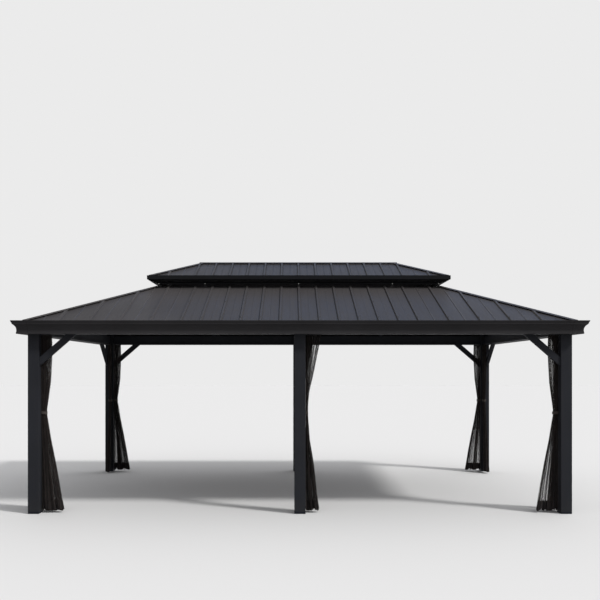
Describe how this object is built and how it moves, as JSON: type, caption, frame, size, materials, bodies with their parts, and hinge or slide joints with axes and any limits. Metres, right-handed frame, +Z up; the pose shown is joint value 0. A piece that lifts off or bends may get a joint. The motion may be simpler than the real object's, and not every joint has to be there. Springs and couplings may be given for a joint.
{
  "type": "metal gazebo",
  "caption": "Rectangular open-sided metal gazebo with square posts, knee braces, perimeter gutter, ribbed hipped roof, raised vent roof and gathered insect netting",
  "frame": {"origin": "on the ground under the middle of the roof", "axes": "+X along the long side, -Y is the front, +Z up"},
  "size_m": [6.106, 3.628, 2.944],
  "materials": {
    "frame": "satin powder-coated aluminium, dark bronze-grey",
    "roof": "matt coated steel sheet, warm dark grey",
    "gutter": "satin powder-coated aluminium, dark bronze-grey",
    "foot": "satin powder-coated steel, dark blue-grey",
    "netting": "sheer woven insect netting, dark brown-black, gathered"
  },
  "bodies": {
    "root": {"beam_back_left": "frame", "beam_back_right": "frame", "beam_front_left": "frame", "beam_front_right": "frame", "beam_left": "frame", "beam_right": "frame", "curtain_back_left": "netting", "curtain_back_middle": "netting", "curtain_back_right": "netting", "curtain_front_left": "netting", "curtain_front_middle": "netting", "curtain_front_right": "netting", "curtain_rails": "frame", "gutter_back": "gutter", "gutter_corners": "gutter", "gutter_front": "gutter", "gutter_left": "gutter", "gutter_right": "gutter", "hip_caps": "roof", "hip_rafters": "frame", "knee_braces": "frame", "post_back_left": "frame", "post_back_middle": "frame", "post_back_right": "frame", "post_feet": "foot", "post_front_left": "frame", "post_front_middle": "frame", "post_front_right": "frame", "rafters": "frame", "ridge_beam": "frame", "ridge_cap": "roof", "roof_back": "roof", "roof_front": "roof", "roof_left": "roof", "roof_right": "roof", "vent_eave_end_bars": "frame", "vent_eave_long_bars": "frame", "vent_fascia_end_sides": "gutter", "vent_fascia_long_sides": "gutter", "vent_hip_caps": "roof", "vent_hip_rafters": "frame", "vent_rafters": "frame", "vent_ring_end_bars": "frame", "vent_ring_long_bars": "frame", "vent_roof_back": "roof", "vent_roof_front": "roof", "vent_roof_left": "roof", "vent_roof_right": "roof", "vent_uprights": "frame"}
  },
  "joints": []
}
